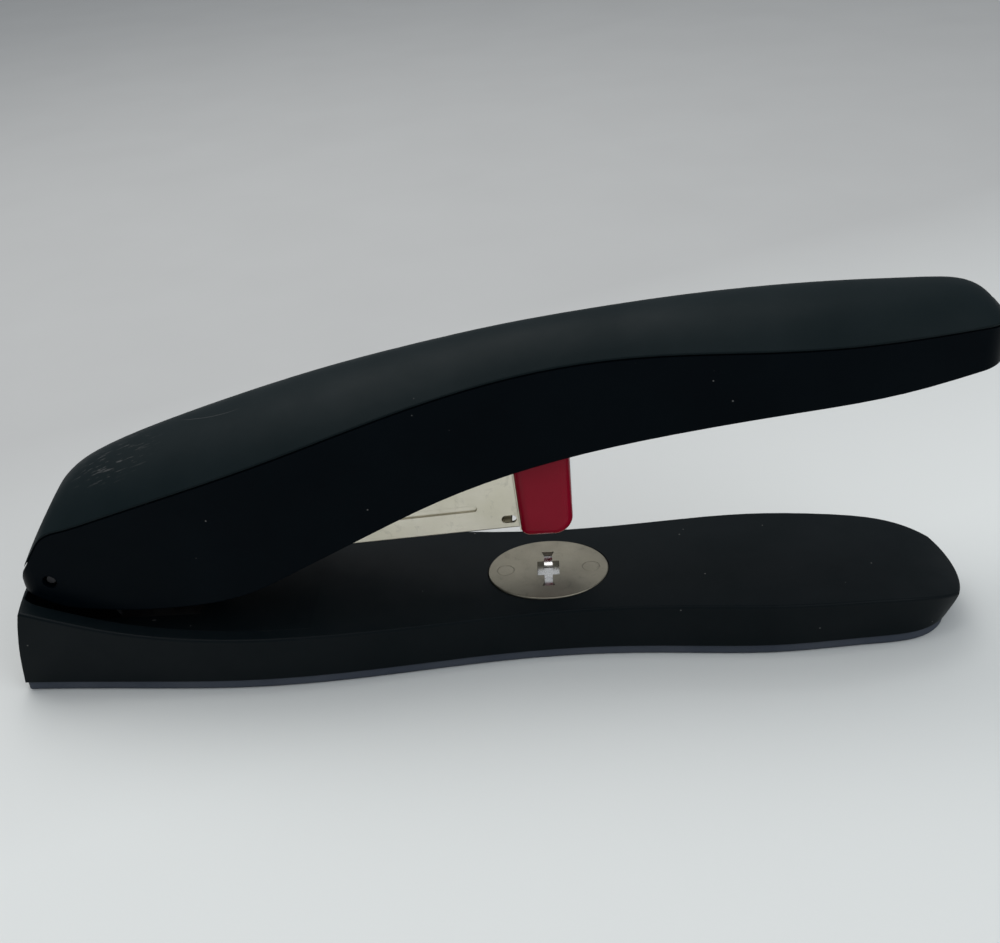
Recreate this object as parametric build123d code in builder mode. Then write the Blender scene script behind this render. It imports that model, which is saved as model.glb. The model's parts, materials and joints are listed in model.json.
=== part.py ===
from build123d import *
import math
import os

os.makedirs("parts", exist_ok=True)

# A long-lever desktop stapler, raised and ready to use. Millimetres.
# The origin is on the table, directly below the hinge pin's axis, midway across.
# +X runs to the front (the grip), +Y across, +Z up.

# ---- hinge and working clearances
PIN_HEIGHT = 30.5
PIN_RADIUS = 1.5
RUNNING_CLEARANCE = 0.05
BEARING_RADIUS = PIN_RADIUS + RUNNING_CLEARANCE
PIN_HALF_LENGTH = 14.9
PIN_WINDOW_RADIUS = 1.8
FREE_GAP = 0.4

# ---- base
SOLE_THICKNESS = 3.0
SOLE_INSET = 0.5
BASE_WALL = 2.4
BASE_PLATE_THICKNESS = 1.2
BASE_PLATE_GAP = 0.3
WELL_FLOOR = 14.0
WELL_FLOOR_THICKNESS = 2.0
WELL_FLAT_FRONT = 38.0
WELL_FRONT = 69.0
WELL_RISE = 2.6
WELL_SIDE_GAP = 1.4
CHASSIS_TOP = 12.0
SHEET = 1.2
CHASSIS_HALF_WIDTH = 11.7
CHASSIS_REAR = -6.0
CHASSIS_FRONT = 146.0
EAR_INNER_Y = 7.9
EAR_RADIUS = 3.8
BRACKET_REAR = -5.5
BRACKET_FRONT = 32.0
WELL_REAR = -7.9
SCREW_PLACES = [(20.0, 16.0), (20.0, -16.0), (80.0, 15.2), (80.0, -15.2), (190.0, 11.0), (190.0, -11.0)]
SCREW_RADIUS = 1.3
SCREW_HEAD_RADIUS = 2.6
SCREW_HEAD_HEIGHT = 1.6
SCREW_SHANK_TOP = 11.0
BOSS_RADIUS = 3.2
DECK_EDGE_RADIUS = 0.6
RIVET_RADIUS = 1.5
RIVET_HEAD = 0.9
BRACKET_RIVETS = [(16.5, 0.0), (24.5, 0.0)]
LEAF_THICKNESS = 0.6
RIVET_HEAD_SEAT = CHASSIS_TOP + SHEET + LEAF_THICKNESS
CLIP_Y = 11.3
CLIP_THICKNESS = 0.7
CLIP_GROOVE_RADIUS = 1.0
CLIP_OUTER_RADIUS = 2.8

# Half-width of the base along its length, at the deck's edge.
BASE_HALF_WIDTHS = [
    (-9.0, 21.2),
    (20.0, 23.2),
    (48.0, 24.5),
    (80.0, 22.3),
    (108.0, 19.1),
    (130.0, 18.1),
    (152.0, 19.2),
    (176.0, 20.8),
    (200.0, 19.4),
    (213.5, 16.9),
    (222.3, 12.6),
]
# Height of the deck along the base.
DECK_HEIGHTS = [
    (-14.0, 27.6),
    (-7.0, 25.4),
    (13.0, 19.6),
    (33.0, 16.8),
    (55.0, 15.8),
    (113.0, 15.1),
    (163.0, 15.7),
    (193.0, 14.8),
    (213.0, 12.7),
    (223.0, 9.6),
    (229.0, 6.5),
]
# How the base's outline changes with height: (height, rear end x, side inset, front inset).
BASE_STATIONS = [
    (SOLE_THICKNESS, -12.3, 1.1, 3.5),
    (8.0, -11.6, 0.8, 1.3),
    (14.0, -10.5, 0.3, 0.1),
    (20.0, -9.1, 0.0, 0.0),
    (25.0, -7.6, -0.3, 0.0),
    (30.0, -5.6, -0.6, 0.0),
]
BASE_FRONT = 222.3
BASE_FRONT_BOW = 3.0
BASE_REAR_BOW = 2.3

# ---- anvil
ANVIL_X = 121.0
ANVIL_HALF_LENGTH = 15.4
ANVIL_HALF_WIDTH = 12.65
ANVIL_TOP = 15.55
ANVIL_THICKNESS = 1.4
ANVIL_RIVET_OFFSET = 10.9
CLINCH_HALF_SPAN = 7.4
CLINCH_NECK_WIDTH = 2.1
CLINCH_BLOCK_HALF_X = 4.0
CLINCH_BLOCK_HALF_Y = 9.4
ANVIL_RIVET_RADIUS = 2.2
ANVIL_RIVET_HEAD = 0.6

# ---- magazine, drawn level and then tipped up about the pin to where its spring holds it
MAGAZINE_TILT = 3.4
MAGAZINE_BOTTOM = 26.5
MAGAZINE_HALF_WIDTH = 7.2
MAGAZINE_WALL = 0.8
MAGAZINE_FRONT = 114.8
MAGAZINE_SIDE_TOP = 42.7
STAPLE_SLOT_REAR = 113.0
GROOVE_HEIGHT = 33.05
GROOVE_WIDTH = 1.7
GROOVE_DEPTH = 0.5
GROOVE_REAR = 20.0
GROOVE_FRONT = 105.2
WINDOW_X = 112.55
WINDOW_HEIGHT = 29.1
WINDOW_LENGTH = 3.7
WINDOW_WIDTH = 2.1
RAIL_HALF_WIDTH = 5.0
RAIL_TOP = 35.05
RAIL_REAR = 8.0
ROD_HEIGHT = 31.2
ROD_RADIUS = 1.1
STAPLE_CROWN_TOP = 35.95
STAPLE_LEG = 6.35
STAPLE_HALF_WIDTH = 6.3
STAPLE_WIRE = 0.5
STRIP_LENGTH = 58.0
STRIP_FRONT = 112.8
PUSHER_LENGTH = 11.0
PUSHER_HALF_WIDTH = 6.0
PUSHER_FOOT = 28.6
PUSHER_TOP = 36.4
PUSHER_CARRIAGE_RADIUS = 2.6
SPRING_WIRE_RADIUS = 0.25
PUSHER_SPRING_RADIUS = 1.9
PUSHER_SPRING_PITCH = 2.1
MAGAZINE_FLOOR_REAR = 5.0
RIVET_HEIGHT = 28.7
RAIL_BLOCK_FRONT_X = 108.5
RAIL_SLOT_REAR = 15.0
RAIL_SLOT_FRONT = 104.0
FRONT_PLATE_HALF_WIDTH = 6.7
FRONT_PLATE_BOTTOM = 25.2
NOSE_CORNER_RADIUS = 2.7
NOSE_BOTTOM = 30.6
NOSE_REAR_RADIUS = 2.2
NOSE_FRONT_RADIUS = 4.8
NOSE_REAR = 114.9
NOSE_FRONT = 127.9
NOSE_HALF_WIDTH = 8.5
NOSE_TOP = 57.5
NOSE_WALL = 1.7

# ---- driver, formed on an arc about the hinge pin so that it stays in its slot
DRIVER_RADIUS = 114.0
DRIVER_THICKNESS = 0.6
DRIVER_HALF_WIDTH = 6.05
DRIVER_TIP_HEIGHT = 43.0
DRIVER_TOP_X = 107.4
DRIVER_FLANGE_LENGTH = 24.0
DRIVER_FLANGE_MIDDLE = 92.9

# ---- handle
HANDLE_WALL = 2.2
HANDLE_REAR_WALL = 1.5
COVER_EDGE = 0.3
CROWN_LEAST_DROP = 2.2
COVER_THICKNESS = 2.6
JOINT_GAP = 0.4
FRAME_INNER_Y = 9.6
FRAME_THICKNESS = 1.0
FRAME_FRONT = 108.0
FRAME_ROOF_REAR = (6.0, 44.0)
FRAME_ROOF_FRONT = (112.0, 72.0)
GRIP_COVER_THICKNESS = 1.8
GRIP_COVER_START = 142.0
# Screw seats under the grip: (x, height of the pad's lower face).
GRIP_SCREWS = [(158.0, 62.2), (206.0, 68.6)]
GRIP_PAD_HEIGHT = 4.0
HANDLE_SCREW_REACH = 8.0
# Places on the frame's roof, measured along it from its rear edge.
ROOF_SCREWS = [(14.0, 0.0), (72.0, 0.0)]
ROOF_RIVETS = [(26.0, 0.0), (88.0, 0.0), (97.0, 0.0)]

HANDLE_HALF_WIDTHS = [
    (-8.2, 15.5),
    (14.0, 17.2),
    (34.0, 18.6),
    (50.0, 19.0),
    (73.0, 17.7),
    (93.0, 15.3),
    (113.0, 13.2),
    (133.0, 12.6),
    (153.0, 13.7),
    (174.0, 15.4),
    (193.0, 15.1),
    (208.0, 13.4),
    (223.0, 11.0),
]
HANDLE_BOTTOM = [
    (-12.0, 31.4),
    (-8.4, 28.4),
    (-4.0, 26.0),
    (1.0, 23.6),
    (9.0, 22.4),
    (19.0, 22.1),
    (30.0, 22.7),
    (40.0, 23.9),
    (50.0, 26.5),
    (60.0, 30.9),
    (80.0, 39.9),
    (95.0, 46.0),
    (123.0, 54.1),
    (151.0, 60.1),
    (177.0, 64.7),
    (204.0, 67.8),
    (216.0, 69.9),
    (226.0, 71.9),
    (234.0, 73.6),
]
# The joint line between the handle's side shell and its crowned cover.
CREASE = [
    (-12.0, 26.4),
    (-7.0, 32.8),
    (-3.4, 37.6),
    (-1.2, 40.7),
    (0.6, 42.8),
    (3.0, 44.3),
    (6.5, 45.3),
    (13.0, 47.3),
    (28.0, 52.3),
    (58.0, 61.7),
    (86.0, 70.1),
    (113.0, 76.2),
    (140.0, 79.5),
    (166.0, 80.1),
    (192.0, 80.1),
    (219.0, 81.0),
    (234.0, 81.6),
]
# Height of the cover's crown at midwidth.
CROWN = [
    (-10.0, 30.8),
    (-6.5, 37.6),
    (-3.0, 42.6),
    (0.0, 46.4),
    (5.0, 51.6),
    (14.0, 56.8),
    (28.0, 61.9),
    (51.0, 68.7),
    (72.0, 74.2),
    (93.0, 78.8),
    (113.0, 82.6),
    (133.0, 85.2),
    (153.0, 87.0),
    (172.0, 87.9),
    (192.0, 88.2),
    (208.0, 88.0),
    (216.0, 87.5),
    (221.5, 85.3),
    (225.0, 81.8),
    (229.0, 76.0),
]
CROWN_STATIONS = [
    -9.0, -5.5, -2.0, 1.5, 6.0, 14.0, 28.0, 48.0, 70.0, 93.0,
    113.0, 133.0, 153.0, 172.0, 192.0, 208.0, 216.0, 221.5, 225.0, 228.5,
]
HANDLE_REAR_LEAN = [(-10.4, 22.0), (-9.2, 26.6), (-7.6, 30.6), (-5.4, 34.9), (-2.4, 40.3), (0.8, 45.7), (7.0, 60.0)]
HANDLE_REAR_BOW = 0.5
HANDLE_REAR_CORNER = 5.0
HANDLE_TIP_BOW = 3.6
HANDLE_TIP_CORNER = 7.0
REAR_NOTCH_HALF_WIDTH = 9.5
REAR_NOTCH_TOP = 34.9
HANDLE_TIP = [(224.2, 66.0), (225.4, 72.0), (226.4, 77.5), (225.6, 82.0), (222.0, 87.0), (216.0, 95.0)]
WIDE = 60.0


def value_at(points, x):
    """Height or width at x on a smooth curve through the points."""
    curve = Spline(*points)
    low = 0.0
    high = 1.0
    for _ in range(30):
        middle = (low + high) / 2
        if curve.position_at(middle).X < x:
            low = middle
        else:
            high = middle
    return curve.position_at(low).Y


def base_outline(rear_x, side_inset, front_inset):
    """The base's outline in plan, drawn in from the deck's edge by the insets."""
    left = [(x, half - side_inset) for x, half in BASE_HALF_WIDTHS[1:-1]]
    rear_half = BASE_HALF_WIDTHS[0][1] - side_inset
    front_half = BASE_HALF_WIDTHS[-1][1] - side_inset
    front_x = BASE_FRONT - front_inset
    with BuildSketch() as outline:
        with BuildLine():
            Spline((rear_x, rear_half), *left, (front_x, front_half))
            ThreePointArc(
                (front_x, front_half), (front_x + BASE_FRONT_BOW, 0), (front_x, -front_half)
            )
            Spline((front_x, -front_half), *[(x, -y) for x, y in reversed(left)], (rear_x, -rear_half))
            ThreePointArc((rear_x, -rear_half), (rear_x - BASE_REAR_BOW, 0), (rear_x, rear_half))
        make_face()
    return outline.sketch


def base_form(inset):
    """The base's whole outer form, up past the deck, drawn in by inset."""
    with BuildPart() as form:
        for height, rear_x, side_inset, front_inset in BASE_STATIONS:
            with BuildSketch(Plane.XY.offset(height)):
                add(base_outline(rear_x + inset, side_inset + inset, front_inset + inset))
        loft()
    return form.part


def below_curve(points, drop, floor):
    """The slab between a floor height and a curve in the XZ plane lowered by drop."""
    curve_points = [(x, z - drop) for x, z in points]
    with BuildPart() as slab:
        with BuildSketch(Plane.XZ):
            with BuildLine():
                Spline(*curve_points)
                Polyline(
                    curve_points[-1],
                    (curve_points[-1][0], floor),
                    (curve_points[0][0], floor),
                    curve_points[0],
                )
            make_face()
        extrude(amount=WIDE, both=True)
    return slab.part


def handle_outline(inset):
    """The handle's outline in plan, drawn in by inset."""
    side = [(x, half - inset) for x, half in HANDLE_HALF_WIDTHS[1:-1]]
    rear_x = HANDLE_HALF_WIDTHS[0][0] + min(inset, HANDLE_REAR_WALL)
    rear_half = HANDLE_HALF_WIDTHS[0][1] - inset
    tip_x = HANDLE_HALF_WIDTHS[-1][0] - inset
    tip_half = HANDLE_HALF_WIDTHS[-1][1] - inset
    with BuildSketch() as outline:
        with BuildLine():
            Spline((rear_x, rear_half), *side, (tip_x, tip_half))
            ThreePointArc((tip_x, tip_half), (tip_x + HANDLE_TIP_BOW, 0), (tip_x, -tip_half))
            Spline((tip_x, -tip_half), *[(x, -y) for x, y in reversed(side)], (rear_x, -rear_half))
            ThreePointArc((rear_x, -rear_half), (rear_x - HANDLE_REAR_BOW, 0), (rear_x, rear_half))
        make_face()
        fillet(outline.vertices().group_by(Axis.X)[0], HANDLE_REAR_CORNER - inset)
        fillet(outline.vertices().group_by(Axis.X)[-1], HANDLE_TIP_CORNER - inset)
    return outline.sketch


def crown_form(drop):
    """Everything under the crowned top surface, lowered by drop."""
    reach = 24.0
    with BuildPart() as form:
        for x in CROWN_STATIONS:
            top = value_at(CROWN, x)
            edge = value_at(CREASE, x)
            half = value_at(HANDLE_HALF_WIDTHS, min(max(x, -8.0), 222.5))
            sag = max(top - edge - COVER_EDGE, CROWN_LEAST_DROP) * (reach / half) ** 2
            with BuildSketch(Plane(origin=(x, 0, -drop), x_dir=(0, 1, 0), z_dir=(1, 0, 0))):
                with BuildLine():
                    Bezier((-reach, top - sag), (0, top + sag), (reach, top - sag))
                    Polyline((reach, top - sag), (reach, -40), (-reach, -40), (-reach, top - sag))
                make_face()
        loft()
    return form.part


def side_form(inset):
    """The handle's side view between its rear wall and its tip, drawn in by inset."""
    rear = [(x + min(inset, HANDLE_REAR_WALL), z) for x, z in HANDLE_REAR_LEAN]
    tip = [(x - inset, z) for x, z in HANDLE_TIP]
    with BuildPart() as form:
        with BuildSketch(Plane.XZ):
            with BuildLine():
                Spline(*rear)
                Polyline(rear[-1], (rear[-1][0], 100), (tip[-1][0], 100), tip[-1])
                Spline(*reversed(tip))
                Polyline(tip[0], (tip[0][0], 10), (rear[0][0], 10), rear[0])
            make_face()
        extrude(amount=WIDE, both=True)
    return form.part


def handle_walls(inset):
    """The handle's outline stood up, between its rear wall and its tip, drawn in by inset."""
    with BuildPart() as form:
        with BuildSketch(Plane.XY.offset(10)):
            add(handle_outline(inset))
        extrude(amount=90)
        add(side_form(inset), mode=Mode.INTERSECT)
    return form.part


PIN_AXIS = Plane(origin=(0, 0, PIN_HEIGHT), x_dir=(1, 0, 0), z_dir=(0, -1, 0))
ROOF_LENGTH = math.dist(FRAME_ROOF_REAR, FRAME_ROOF_FRONT)
ROOF_ANGLE = math.atan2(FRAME_ROOF_FRONT[1] - FRAME_ROOF_REAR[1], FRAME_ROOF_FRONT[0] - FRAME_ROOF_REAR[0])
ROOF_PLANE = Plane(
    origin=(FRAME_ROOF_REAR[0], 0, FRAME_ROOF_REAR[1]),
    x_dir=(math.cos(ROOF_ANGLE), 0, math.sin(ROOF_ANGLE)),
    z_dir=(-math.sin(ROOF_ANGLE), 0, math.cos(ROOF_ANGLE)),
)
ROOF_SIDE = Plane(origin=ROOF_PLANE.origin, x_dir=ROOF_PLANE.x_dir, z_dir=(0, -1, 0))


def roof_height(x):
    """Height of the frame roof's top face at x."""
    return FRAME_ROOF_REAR[1] + (x - FRAME_ROOF_REAR[0]) * math.tan(ROOF_ANGLE)


def finish(part, name):
    """Label a piece and write its file."""
    part.label = name
    export_step(part, f"parts/{name}.step")


def tip_up(part):
    """A piece that was drawn level, turned about the hinge axis to the magazine's resting slope."""
    return part.rotate(Axis((0, 0, PIN_HEIGHT), (0, 1, 0)), -MAGAZINE_TILT)


def pin_rod(radius, half_width):
    """A rod on the hinge axis, to cut or join."""
    with BuildPart() as rod:
        with BuildSketch(PIN_AXIS):
            Circle(radius)
        extrude(amount=half_width, both=True)
    return rod.part


def leaf_spring(start, points, direction, thickness, half_width, plane=Plane.XZ):
    """A leaf of spring steel: a flat seat from start to the first point, then a curve through the rest."""
    rise = (points[-1][0] - points[-2][0], points[-1][1] - points[-2][1])
    upper = [(x, z + thickness) for x, z in points]
    upper_start = (start[0], start[1] + thickness)
    with BuildPart() as leaf:
        with BuildSketch(plane):
            with BuildLine():
                Line(start, points[0])
                Spline(*points, tangents=[direction, rise])
                Line(points[-1], upper[-1])
                Spline(*upper, tangents=[direction, rise])
                Polyline(upper[0], upper_start, start)
            make_face()
        extrude(amount=half_width, both=True)
    return leaf.part


# ================================================================ base

def well_form(side_gap, rear_x, drop):
    """The dished space that the handle's belly sinks into, grown by side_gap and lowered by drop."""
    floor = WELL_FLOOR - drop
    with BuildPart() as form:
        with BuildSketch(Plane.XZ):
            with BuildLine():
                Line((rear_x, floor), (WELL_FLAT_FRONT, floor))
                Spline(
                    (WELL_FLAT_FRONT, floor),
                    (WELL_FRONT, floor + WELL_RISE),
                    tangents=[(1, 0), (1, 0.16)],
                )
                Polyline((WELL_FRONT, floor + WELL_RISE), (WELL_FRONT, 45), (rear_x, 45), (rear_x, floor))
            make_face()
        extrude(amount=WIDE, both=True)
        with BuildSketch(Plane.XY):
            add(handle_outline(-side_gap))
        extrude(amount=50, mode=Mode.INTERSECT)
    return form.part


plate_top = SOLE_THICKNESS + BASE_PLATE_THICKNESS

with BuildPart() as cavity:
    add(base_form(BASE_WALL))
    add(below_curve(DECK_HEIGHTS, BASE_WALL, 0), mode=Mode.INTERSECT)
    add(well_form(WELL_SIDE_GAP + BASE_WALL, WELL_REAR - BASE_WALL, WELL_FLOOR_THICKNESS), mode=Mode.SUBTRACT)
    # A pad of solid plastic carries the anvil.
    with BuildSketch(Plane.XY.offset(CHASSIS_TOP)):
        with Locations((ANVIL_X, 0)):
            Ellipse(ANVIL_HALF_LENGTH + 2.0, ANVIL_HALF_WIDTH + 2.0)
    extrude(amount=10, mode=Mode.SUBTRACT)
    with BuildSketch(Plane.XY.offset(plate_top)):
        with Locations(*SCREW_PLACES):
            Circle(BOSS_RADIUS)
    extrude(amount=20, mode=Mode.SUBTRACT)

with BuildPart() as base_shell:
    add(base_form(0))
    add(below_curve(DECK_HEIGHTS, 0, 0), mode=Mode.INTERSECT)
    deck_face = base_shell.faces().filter_by(lambda face: face.normal_at().Z > 0.5).sort_by(SortBy.AREA)[-1]
    fillet(deck_face.edges(), DECK_EDGE_RADIUS)
    add(well_form(WELL_SIDE_GAP, WELL_REAR, 0), mode=Mode.SUBTRACT)
    add(cavity.part, mode=Mode.SUBTRACT)
    # Pilot holes in the screw bosses.
    with BuildSketch(Plane.XY.offset(plate_top)):
        with Locations(*SCREW_PLACES):
            Circle(SCREW_RADIUS)
    extrude(amount=SCREW_SHANK_TOP - plate_top, mode=Mode.SUBTRACT)
    # The opening in the well's floor for the hinge bracket.
    with BuildSketch(Plane.XY.offset(CHASSIS_TOP)):
        with Locations(((BRACKET_REAR + BRACKET_FRONT) / 2, 0)):
            Rectangle(BRACKET_FRONT - BRACKET_REAR + 1.0, 2 * (EAR_INNER_Y + SHEET) + 1.0)
    extrude(amount=20, mode=Mode.SUBTRACT)
    # The anvil's seat and the clinch opening under it.
    with BuildSketch(Plane.XY.offset(ANVIL_TOP - ANVIL_THICKNESS)):
        with Locations((ANVIL_X, 0)):
            Ellipse(ANVIL_HALF_LENGTH + 0.15, ANVIL_HALF_WIDTH + 0.15)
    extrude(amount=10, mode=Mode.SUBTRACT)
    with BuildSketch(Plane.XY.offset(CHASSIS_TOP)):
        with Locations((ANVIL_X, 0)):
            Rectangle(2 * CLINCH_BLOCK_HALF_X, 2 * CLINCH_BLOCK_HALF_Y)
        with Locations((ANVIL_X - ANVIL_RIVET_OFFSET, 0), (ANVIL_X + ANVIL_RIVET_OFFSET, 0)):
            Circle(RIVET_RADIUS)
    extrude(amount=10, mode=Mode.SUBTRACT)
finish(base_shell.part, "base_shell")

with BuildPart() as sole_pad:
    with BuildSketch(Plane.XY):
        add(base_outline(BASE_STATIONS[0][1] + SOLE_INSET, BASE_STATIONS[0][2] + SOLE_INSET,
                         BASE_STATIONS[0][3] + SOLE_INSET))
    extrude(amount=SOLE_THICKNESS)
    fillet(sole_pad.edges().group_by(Axis.Z)[0], 0.8)
    # The screws sit up inside the rubber.
    with BuildSketch(Plane.XY):
        with Locations(*SCREW_PLACES):
            Circle(SCREW_HEAD_RADIUS + 0.6)
    extrude(amount=SOLE_THICKNESS, mode=Mode.SUBTRACT)
finish(sole_pad.part, "sole_pad")

with BuildPart() as base_plate:
    with BuildSketch(Plane.XY.offset(SOLE_THICKNESS)):
        plate_inset = BASE_WALL + BASE_PLATE_GAP
        add(base_outline(BASE_STATIONS[0][1] + plate_inset, BASE_STATIONS[0][2] + plate_inset,
                         BASE_STATIONS[0][3] + plate_inset))
        with Locations(*SCREW_PLACES):
            Circle(SCREW_RADIUS, mode=Mode.SUBTRACT)
    extrude(amount=BASE_PLATE_THICKNESS)
finish(base_plate.part, "base_plate")

with BuildPart() as base_screws:
    with BuildSketch(Plane.XY.offset(SOLE_THICKNESS - SCREW_HEAD_HEIGHT)):
        with Locations(*SCREW_PLACES):
            Circle(SCREW_HEAD_RADIUS)
    extrude(amount=SCREW_HEAD_HEIGHT)
    fillet(base_screws.edges().group_by(Axis.Z)[0], 0.6)
    with BuildSketch(Plane.XY.offset(SOLE_THICKNESS)):
        with Locations(*SCREW_PLACES):
            Circle(SCREW_RADIUS)
    extrude(amount=SCREW_SHANK_TOP - SOLE_THICKNESS)
    with BuildSketch(Plane.XY.offset(SOLE_THICKNESS - SCREW_HEAD_HEIGHT)):
        with Locations(*SCREW_PLACES):
            Rectangle(0.6, 3.0)
            Rectangle(3.0, 0.6)
    extrude(amount=0.8, mode=Mode.SUBTRACT)
finish(base_screws.part, "base_screws")

# An inverted steel channel from the hinge to past the anvil.
with BuildPart() as base_chassis:
    with BuildSketch(Plane.YZ.offset(CHASSIS_REAR)):
        with BuildLine():
            half = CHASSIS_HALF_WIDTH
            Polyline(
                (-half, plate_top),
                (-half, CHASSIS_TOP),
                (half, CHASSIS_TOP),
                (half, plate_top),
                (half - SHEET, plate_top),
                (half - SHEET, CHASSIS_TOP - SHEET),
                (-half + SHEET, CHASSIS_TOP - SHEET),
                (-half + SHEET, plate_top),
                (-half, plate_top),
            )
        make_face()
    extrude(amount=CHASSIS_FRONT - CHASSIS_REAR)
    with BuildSketch(Plane.XY):
        with Locations((ANVIL_X - ANVIL_RIVET_OFFSET, 0), (ANVIL_X + ANVIL_RIVET_OFFSET, 0), *BRACKET_RIVETS):
            Circle(RIVET_RADIUS)
    extrude(amount=30, mode=Mode.SUBTRACT)
finish(base_chassis.part, "base_chassis")

with BuildPart() as hinge_bracket:
    with BuildSketch(Plane.XY.offset(CHASSIS_TOP)):
        with Locations(((BRACKET_REAR + BRACKET_FRONT) / 2, 0)):
            Rectangle(BRACKET_FRONT - BRACKET_REAR, 2 * (EAR_INNER_Y + SHEET))
    extrude(amount=SHEET)
    with BuildSketch(Plane.XZ):
        with Locations((0, PIN_HEIGHT)):
            Circle(EAR_RADIUS)
        with BuildLine():
            Polyline(
                (BRACKET_REAR, CHASSIS_TOP),
                (-EAR_RADIUS, PIN_HEIGHT),
                (EAR_RADIUS, PIN_HEIGHT),
                (12.0, CHASSIS_TOP + 2 * SHEET),
                (12.0, CHASSIS_TOP),
                (BRACKET_REAR, CHASSIS_TOP),
            )
        make_face()
    extrude(amount=EAR_INNER_Y + SHEET, both=True)
    with Locations((0, 0, CHASSIS_TOP + SHEET + 15)):
        Box(60, 2 * EAR_INNER_Y, 30, mode=Mode.SUBTRACT)
    add(pin_rod(PIN_RADIUS, WIDE), mode=Mode.SUBTRACT)
    with BuildSketch(Plane.XY):
        with Locations(*BRACKET_RIVETS):
            Circle(RIVET_RADIUS)
    extrude(amount=30, mode=Mode.SUBTRACT)
finish(hinge_bracket.part, "hinge_bracket")

# The spring that lifts the magazine off the deck.
spring_seat = CHASSIS_TOP + SHEET
with BuildPart() as lift_spring:
    add(
        leaf_spring(
            (13.0, spring_seat),
            [(27.0, spring_seat), (35.0, 16.6), (45.0, 24.4), (52.0, 28.3), (57.0, 27.6)],
            (1, 0),
            LEAF_THICKNESS,
            4.0,
        )
    )
    with BuildSketch(Plane.XY):
        with Locations(*BRACKET_RIVETS):
            Circle(RIVET_RADIUS)
    extrude(amount=30, mode=Mode.SUBTRACT)
finish(lift_spring.part, "lift_spring")

with BuildPart() as bracket_rivets:
    rivet_bottom = CHASSIS_TOP - SHEET - 0.9
    with BuildSketch(Plane.XY.offset(rivet_bottom)):
        with Locations(*BRACKET_RIVETS):
            Circle(RIVET_RADIUS + 1.0)
    extrude(amount=0.9)
    with BuildSketch(Plane.XY.offset(rivet_bottom)):
        with Locations(*BRACKET_RIVETS):
            Circle(RIVET_RADIUS)
    extrude(amount=RIVET_HEAD_SEAT - rivet_bottom)
    with BuildSketch(Plane.XY.offset(RIVET_HEAD_SEAT)):
        with Locations(*BRACKET_RIVETS):
            Circle(RIVET_RADIUS + 1.0)
    extrude(amount=0.9)
    fillet(bracket_rivets.edges().group_by(Axis.Z)[-1], 0.6)
finish(bracket_rivets.part, "bracket_rivets")

with BuildPart() as hinge_pin:
    with BuildSketch(PIN_AXIS):
        Circle(PIN_RADIUS)
    extrude(amount=PIN_HALF_LENGTH, both=True)
    chamfer(hinge_pin.edges(), 0.4)
    for side in (-1, 1):
        with BuildSketch(PIN_AXIS.offset(side * CLIP_Y)):
            Circle(PIN_RADIUS + 1)
            Circle(CLIP_GROOVE_RADIUS, mode=Mode.SUBTRACT)
        extrude(amount=CLIP_THICKNESS / 2, both=True, mode=Mode.SUBTRACT)
finish(hinge_pin.part, "hinge_pin")

# Snap rings in the pin's grooves, outside the handle's frame.
with BuildPart() as pin_clips:
    for side in (-1, 1):
        with BuildSketch(PIN_AXIS.offset(side * CLIP_Y)):
            Circle(CLIP_OUTER_RADIUS)
            Circle(CLIP_GROOVE_RADIUS, mode=Mode.SUBTRACT)
            with Locations((CLIP_OUTER_RADIUS, 0)):
                Rectangle(2 * CLIP_OUTER_RADIUS, 2.2, mode=Mode.SUBTRACT)
        extrude(amount=CLIP_THICKNESS / 2, both=True)
finish(pin_clips.part, "pin_clips")

with BuildPart() as anvil_plate:
    with BuildSketch(Plane.XY.offset(ANVIL_TOP - ANVIL_THICKNESS)):
        with Locations((ANVIL_X, 0)):
            Ellipse(ANVIL_HALF_LENGTH, ANVIL_HALF_WIDTH)
    extrude(amount=ANVIL_THICKNESS)
    fillet(anvil_plate.edges().group_by(Axis.Z)[-1], 0.35)
    with BuildSketch(Plane.XY.offset(ANVIL_TOP - ANVIL_THICKNESS)):
        with Locations((ANVIL_X, 0.2)):
            Rectangle(5.6, 6.0)
        for side in (-1, 1):
            with BuildLine():
                Polyline(
                    (ANVIL_X - CLINCH_NECK_WIDTH / 2, side * 2.0),
                    (ANVIL_X - CLINCH_NECK_WIDTH / 2, side * 5.8),
                    (ANVIL_X - 1.6, side * CLINCH_HALF_SPAN),
                    (ANVIL_X + 1.6, side * CLINCH_HALF_SPAN),
                    (ANVIL_X + CLINCH_NECK_WIDTH / 2, side * 5.8),
                    (ANVIL_X + CLINCH_NECK_WIDTH / 2, side * 2.0),
                    (ANVIL_X - CLINCH_NECK_WIDTH / 2, side * 2.0),
                )
            make_face()
        with Locations((ANVIL_X - ANVIL_RIVET_OFFSET, 0), (ANVIL_X + ANVIL_RIVET_OFFSET, 0)):
            Circle(RIVET_RADIUS)
    extrude(amount=ANVIL_THICKNESS, mode=Mode.SUBTRACT)
    with BuildSketch(Plane.XY.offset(ANVIL_TOP - ANVIL_RIVET_HEAD)):
        with Locations((ANVIL_X - ANVIL_RIVET_OFFSET, 0), (ANVIL_X + ANVIL_RIVET_OFFSET, 0)):
            Circle(ANVIL_RIVET_RADIUS)
    extrude(amount=ANVIL_RIVET_HEAD, mode=Mode.SUBTRACT)
finish(anvil_plate.part, "anvil_plate")

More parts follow.
